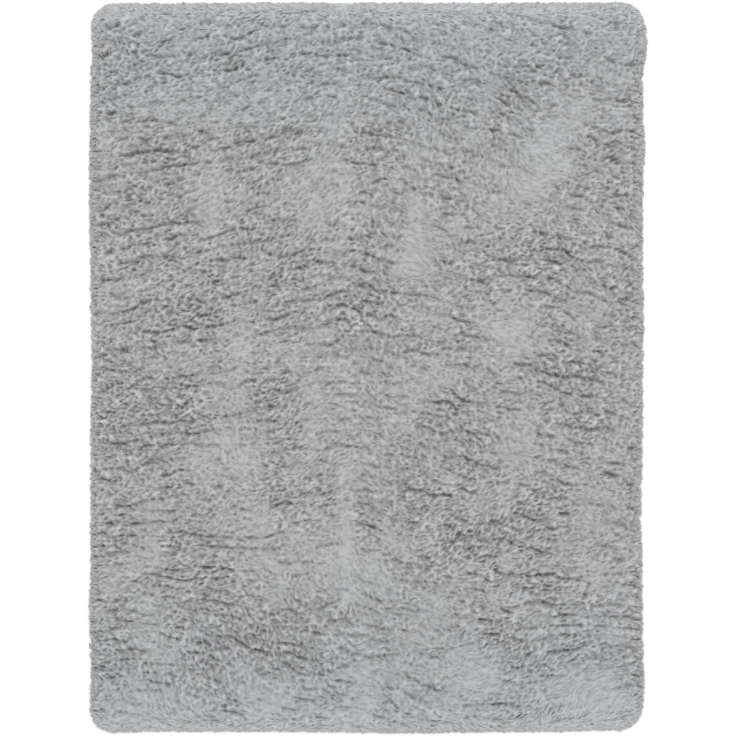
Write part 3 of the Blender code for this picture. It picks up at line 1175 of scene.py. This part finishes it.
def pile_finish():
    """Tone from u, shade from v, and streaks from noise that is far finer along u than along v."""
    finish = Finish("pile", roughness=0.85, specular=0.25, sheen=0.3, sheen_roughness=0.5)
    spot = finish.node("ShaderNodeUVMap", {"uv_map": MAP_NAME}).outputs[0]
    split = finish.node("ShaderNodeSeparateXYZ", None, {0: spot})
    tone, way = (Number(finish, socket) for socket in split.outputs[:2])
    drawn = {0: tone * STREAKS, 1: way * STREAK_TURNS}
    place = finish.node("ShaderNodeCombineXYZ", None, drawn).outputs[0]
    streak = finish.noise(place, {"noise_dimensions": "2D"}, scale=1.0, detail=2.0, roughness=0.6)
    base = finish.mix(tone, PILE_DARK, PILE_LIGHT)
    fade = {"From Min": SHADE_START, "From Max": SHADE_END, "To Min": ROOT_SHADE, "To Max": 1.0}
    smooth = {"interpolation_type": "SMOOTHSTEP"}
    shade = finish.node("ShaderNodeMapRange", smooth, {"Value": way, **fade}).outputs[0]
    strength = Number(finish, shade) * (1 - STREAK_DEPTH + 2 * STREAK_DEPTH * streak)
    scaled = {0: base, "Scale": strength}
    finish.colour(finish.node("ShaderNodeVectorMath", {"operation": "SCALE"}, scaled).outputs[0])
    finish.bump(streak, distance=0.0004, strength=0.4)
    return finish.material


pile = pile_finish()
for strip in pile_strips:
    strip.data.materials.append(pile)
print("pile finish with", len(pile.node_tree.nodes), "nodes")

# %% [markdown]
# ### Fleece
#
# The fleece is the same yarn. Its tone and its cast were stored with its points. The tone is
# lighter on the strands and darker in the furrows, painted shade where less light comes through the
# pile, and paler at the short ends and the rim, painted light. The cast is cooler towards the short
# ends, and cooler on calm pile as a painted reflection of the sky. Fine fibres are noise on the
# piece's own place, mottling the tone and roughening the surface.

# %% Fleece finish
FIBRES = 420.0  # to the metre
FIBRE_CONTRAST = 0.9
# the cool end of the cast carries the painted reflection of the sky on calm pile
WARM_CAST = (1.028, 0.995, 0.972, 1)
COOL_CAST = (0.977, 1.003, 1.020, 1)


def fleece_finish():
    """A grey from the stored tone, mottled by fine noise, times a tint from the stored cast."""
    finish = Finish("fleece", roughness=0.9, specular=0.2, sheen=0.2, sheen_roughness=0.5)
    place = finish.node("ShaderNodeTexCoord").outputs["Object"]
    tone, cast = (
        finish.node("ShaderNodeAttribute", {"attribute_name": label}).outputs["Fac"]
        for label in ("tone", "cast")
    )
    fibre = finish.noise(place, scale=FIBRES, detail=3.0, roughness=0.6)
    mottled = Number(finish, tone) + (fibre - 0.5) * FIBRE_CONTRAST
    grey = finish.mix(mottled, PILE_DARK, PILE_LIGHT)
    tint = {0: grey, 1: finish.mix(cast, WARM_CAST, COOL_CAST)}
    finish.colour(finish.node("ShaderNodeVectorMath", {"operation": "MULTIPLY"}, tint).outputs[0])
    finish.bump(fibre, distance=0.0012, strength=0.6)
    return finish.material


fleece = fleece_finish()
for strip in fleece_strips:
    strip.data.materials.append(fleece)
print("fleece finish with", len(fleece.node_tree.nodes), "nodes")

# %% [markdown]
# ### Cloth
#
# The underside is a plain weave: threads go over and under by turns, so the height is a sine one
# way times a sine the other way, a few millimetres to the thread. Noise makes the yarn uneven.

# %% Cloth finish
THREAD_PITCH = 0.0025
THREAD_DEPTH = 0.0006
SLUBS = 90.0  # to the metre
SLUB_TONE = 0.3  # their share of the yarn's tone
SLUB_RISE = 0.4  # of a thread's depth
CLOTH_DARK = (0.30, 0.29, 0.27, 1)
CLOTH_LIGHT = (0.52, 0.51, 0.48, 1)


def cloth_finish():
    """A plain weave: half the product of two sines, plus a half, with noise for uneven yarn."""
    finish = Finish("cloth", roughness=0.9, specular=0.2)
    place = finish.node("ShaderNodeTexCoord").outputs["Object"]
    split = finish.node("ShaderNodeSeparateXYZ", None, {0: place})
    waves = []
    for socket in split.outputs[:2]:
        turn = Number(finish, socket) * (np.pi / THREAD_PITCH)
        wave = finish.node("ShaderNodeMath", {"operation": "SINE"}, {0: turn}).outputs[0]
        waves.append(Number(finish, wave))
    weave = waves[0] * waves[1] * 0.5 + 0.5
    slub = finish.noise(place, scale=SLUBS, detail=3.0)
    finish.colour(finish.mix(weave * (1 - SLUB_TONE) + slub * SLUB_TONE, CLOTH_DARK, CLOTH_LIGHT))
    finish.bump(weave + slub * SLUB_RISE, distance=THREAD_DEPTH)
    return finish.material


woven = cloth_finish()
cloth.data.materials.append(woven)
print("cloth finish with", len(woven.node_tree.nodes), "nodes")

# %% [markdown]
# ## Attach the pieces
#
# The strips of fleece and pile stand for the solid, which is hidden, and with the cloth they are
# attached to the root body. The cloth's area, less its round corners, is worked out and not used.

# %% Pieces
CORNERS_LOST = (4 - np.pi) * CORNER_RADIUS**2
for piece in (*pile_strips, *fleece_strips):
    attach(piece, "root")
    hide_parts("rug")
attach(cloth, "root")
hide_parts("rug")
float(CLOTH.prod() - CORNERS_LOST)
print(len(pile_strips) + len(fleece_strips), "strips and one cloth stand for the rug")

# %% [markdown]
# ## Floor, light and camera
#
# The photograph is taken from straight above, with even light and nothing but white around the rug.
# One broad lamp hangs almost straight above, a little towards the far end, so the locks shade each
# other only softly, and an even pale sky fills the shadows. A long lens far away keeps the rug's
# sides from showing.

# %% Floor
FLOOR_HALF = 40.0
FLOOR_DROP = 0.0004
FLOOR_WHITE = (0.86, 0.86, 0.86, 1)


def make_floor():
    """A wide flat square just under the rug."""
    corners = np.array([[-1, -1, 0], [1, -1, 0], [1, 1, 0], [-1, 1, 0]]) * FLOOR_HALF
    corners[:, 2] = -FLOOR_DROP
    floor = mesh_object("floor", corners, np.array([[0, 1, 2], [0, 2, 3]]))
    finish = Finish("floor", roughness=0.9, specular=0.0)
    finish.colour(FLOOR_WHITE)
    floor.data.materials.append(finish.material)
    floor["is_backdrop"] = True
    return floor


floor = make_floor()
print("the floor is", floor.dimensions.x, "m wide")

# %% Light
SKY = 1.08
LAMP_SIZE = 2.6
LAMP_POWER = 79
LAMP_PLACE = Vector((0.1, 0.5, 4.2))


def make_light():
    """A pale even sky, and one broad lamp that looks at the rug's middle."""
    world = bpy.data.worlds.new("sky")
    world.use_nodes = True
    sky = world.node_tree.nodes["Background"].inputs
    sky["Color"].default_value = (1, 1, 1, 1)
    sky["Strength"].default_value = SKY
    bpy.context.scene.world = world
    lamp = bpy.data.lights.new("lamp", "AREA")
    lamp.size = LAMP_SIZE
    lamp.energy = LAMP_POWER
    holder = bpy.data.objects.new("lamp", lamp)
    holder.location = LAMP_PLACE
    holder.rotation_euler = (-LAMP_PLACE).to_track_quat("-Z", "Y").to_euler()
    bpy.context.scene.collection.objects.link(holder)


make_light()
print("the lamp hangs", round(LAMP_PLACE.z, 2), "m up")

# %% Camera
PHOTO_SIDE = 736
RUG_MIDDLE = (366.7, 367.32)  # of the photograph's pixels, from its top left corner
RUG_PIXELS = 727.2  # how long the rug is there
RUG_LENGTH = 1.638
RIM_HEIGHT = 0.010  # where the rug is widest, so what lies at this height is to scale
LENS = 120.0
SENSOR = 36.0


def make_camera():
    """Straight above, as far away as it takes for the rug to fill the photograph's height."""
    pixel = RUG_LENGTH / RUG_PIXELS
    across = pixel * PHOTO_SIDE
    camera = bpy.data.cameras.new("camera")
    camera.lens, camera.sensor_width = LENS, SENSOR
    holder = bpy.data.objects.new("camera", camera)
    aim_x = (PHOTO_SIDE / 2 - RUG_MIDDLE[0]) * pixel
    aim_y = (RUG_MIDDLE[1] - PHOTO_SIDE / 2) * pixel
    holder.location = (aim_x, aim_y, across * LENS / SENSOR + RIM_HEIGHT)
    bpy.context.scene.collection.objects.link(holder)
    bpy.context.scene.camera = holder
    return holder


camera = make_camera()
bpy.context.scene.view_settings.view_transform = "Standard"
print("the camera is", round(camera.location.z, 2), "m up")

# %% [markdown]
# ## Measure and finish
#
# The last cell prints how far the dressed rug spans.

# %% Sizes
low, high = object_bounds()
print("the dressed rug spans", [round(c, 3) for c in high - low], "m")
